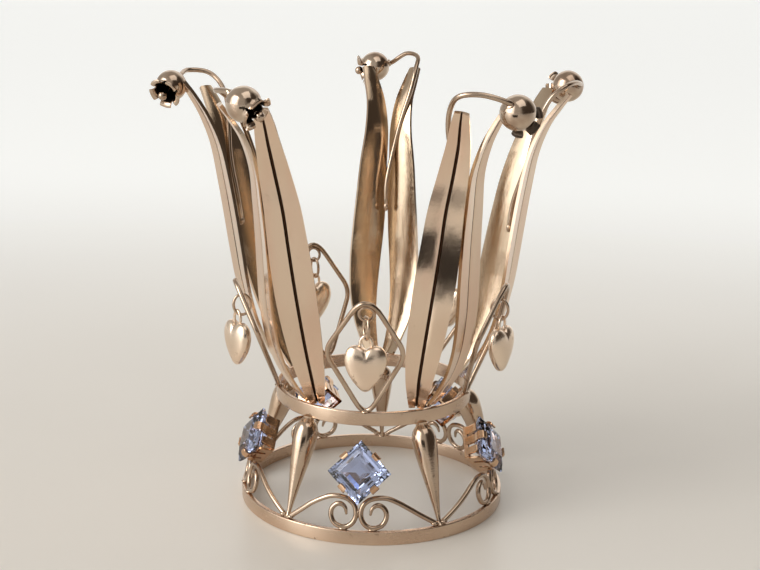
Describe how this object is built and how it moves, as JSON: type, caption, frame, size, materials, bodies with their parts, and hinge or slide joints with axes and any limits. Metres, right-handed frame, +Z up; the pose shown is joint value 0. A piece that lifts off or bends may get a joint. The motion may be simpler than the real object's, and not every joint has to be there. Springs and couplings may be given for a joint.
{
  "type": "bridal crown",
  "caption": "Standing bridal crown: lower and upper ring joined by drop-shaped struts, tall folded leaves, bell flowers on hooked stems, hearts hanging in wire lozenges, square blue stones.",
  "frame": {"origin": "middle of the crown's footprint box on the surface it stands on", "axes": "+Z up, out of the base ring's underside; -Y towards the viewer of the front stone"},
  "size_m": [0.1066, 0.103, 0.1072],
  "materials": {
    "gilt_silver": "satin gilt silver, slightly rosy",
    "gilt_bright": "polished gilt silver",
    "blue_stone": "clear polished pale blue stone"
  },
  "bodies": {
    "root": {"base_ring": "gilt_silver", "bell_1": "gilt_bright", "bell_2": "gilt_bright", "bell_3": "gilt_bright", "bell_4": "gilt_bright", "bell_5": "gilt_bright", "heart_1": "gilt_bright", "heart_2": "gilt_bright", "heart_3": "gilt_bright", "heart_4": "gilt_bright", "heart_5": "gilt_bright", "leaf_1a": "gilt_silver", "leaf_1b": "gilt_silver", "leaf_2a": "gilt_silver", "leaf_2b": "gilt_silver", "leaf_3a": "gilt_silver", "leaf_3b": "gilt_silver", "leaf_4a": "gilt_silver", "leaf_4b": "gilt_silver", "leaf_5a": "gilt_silver", "leaf_5b": "gilt_silver", "link_1": "gilt_bright", "link_2": "gilt_bright", "link_3": "gilt_bright", "link_4": "gilt_bright", "link_5": "gilt_bright", "lozenge_1": "gilt_silver", "lozenge_2": "gilt_silver", "lozenge_3": "gilt_silver", "lozenge_4": "gilt_silver", "lozenge_5": "gilt_silver", "scrolls_1": "gilt_silver", "scrolls_2": "gilt_silver", "scrolls_3": "gilt_silver", "scrolls_4": "gilt_silver", "scrolls_5": "gilt_silver", "setting_1": "gilt_bright", "setting_2": "gilt_bright", "setting_3": "gilt_bright", "setting_4": "gilt_bright", "setting_5": "gilt_bright", "stem_1": "gilt_silver", "stem_2": "gilt_silver", "stem_3": "gilt_silver", "stem_4": "gilt_silver", "stem_5": "gilt_silver", "stone_1": "blue_stone", "stone_2": "blue_stone", "stone_3": "blue_stone", "stone_4": "blue_stone", "stone_5": "blue_stone", "strut_1": "gilt_bright", "strut_2": "gilt_bright", "strut_3": "gilt_bright", "strut_4": "gilt_bright", "strut_5": "gilt_bright", "upper_ring": "gilt_silver"}
  },
  "joints": []
}
